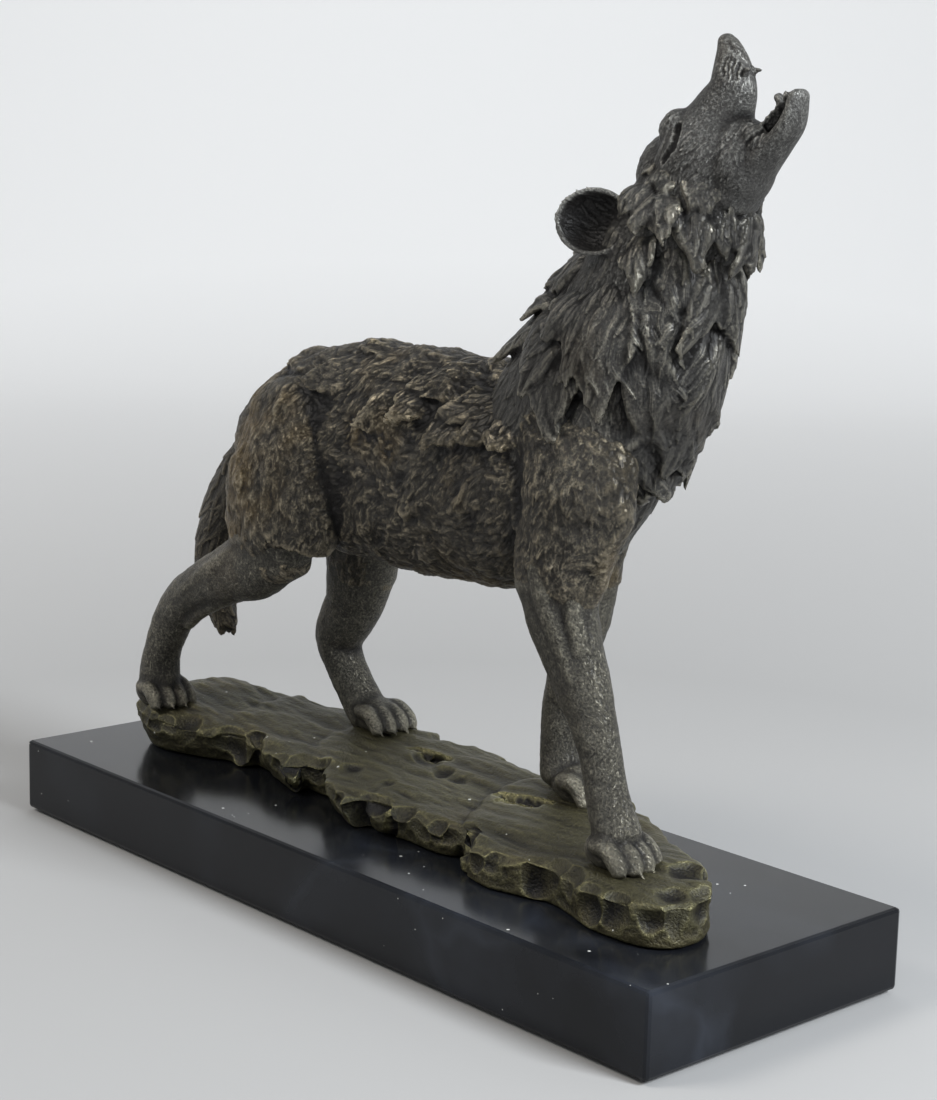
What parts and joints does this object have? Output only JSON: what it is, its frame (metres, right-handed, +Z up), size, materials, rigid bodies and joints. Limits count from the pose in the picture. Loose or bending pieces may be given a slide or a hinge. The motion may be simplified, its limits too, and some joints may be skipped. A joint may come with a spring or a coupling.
{
  "type": "wolf figurine",
  "caption": "Bronze figurine of a howling wolf striding on a rock ledge, cast in one piece and bolted to a polished black marble slab.",
  "frame": {"origin": "middle of the footprint, on the surface that the felt pads stand on", "axes": "+X the way the wolf faces, along the slab; +Y the wolf's left side; +Z up"},
  "size_m": [0.37, 0.127, 0.3248],
  "materials": {
    "bronze": "dark brown patina, rubbed through to golden bronze on the high places",
    "marble": "polished black with faint grey veins",
    "steel": "zinc plated",
    "felt": "matt felt"
  },
  "bodies": {
    "root": {"wolf_and_ledge_casting": "bronze", "marble_slab": "marble", "stud_1": "steel", "stud_2": "steel", "washer_1": "steel", "washer_2": "steel", "nut_1": "steel", "nut_2": "steel", "felt_pad_tail_right": "felt", "felt_pad_tail_left": "felt", "felt_pad_nose_right": "felt", "felt_pad_nose_left": "felt"}
  },
  "joints": []
}
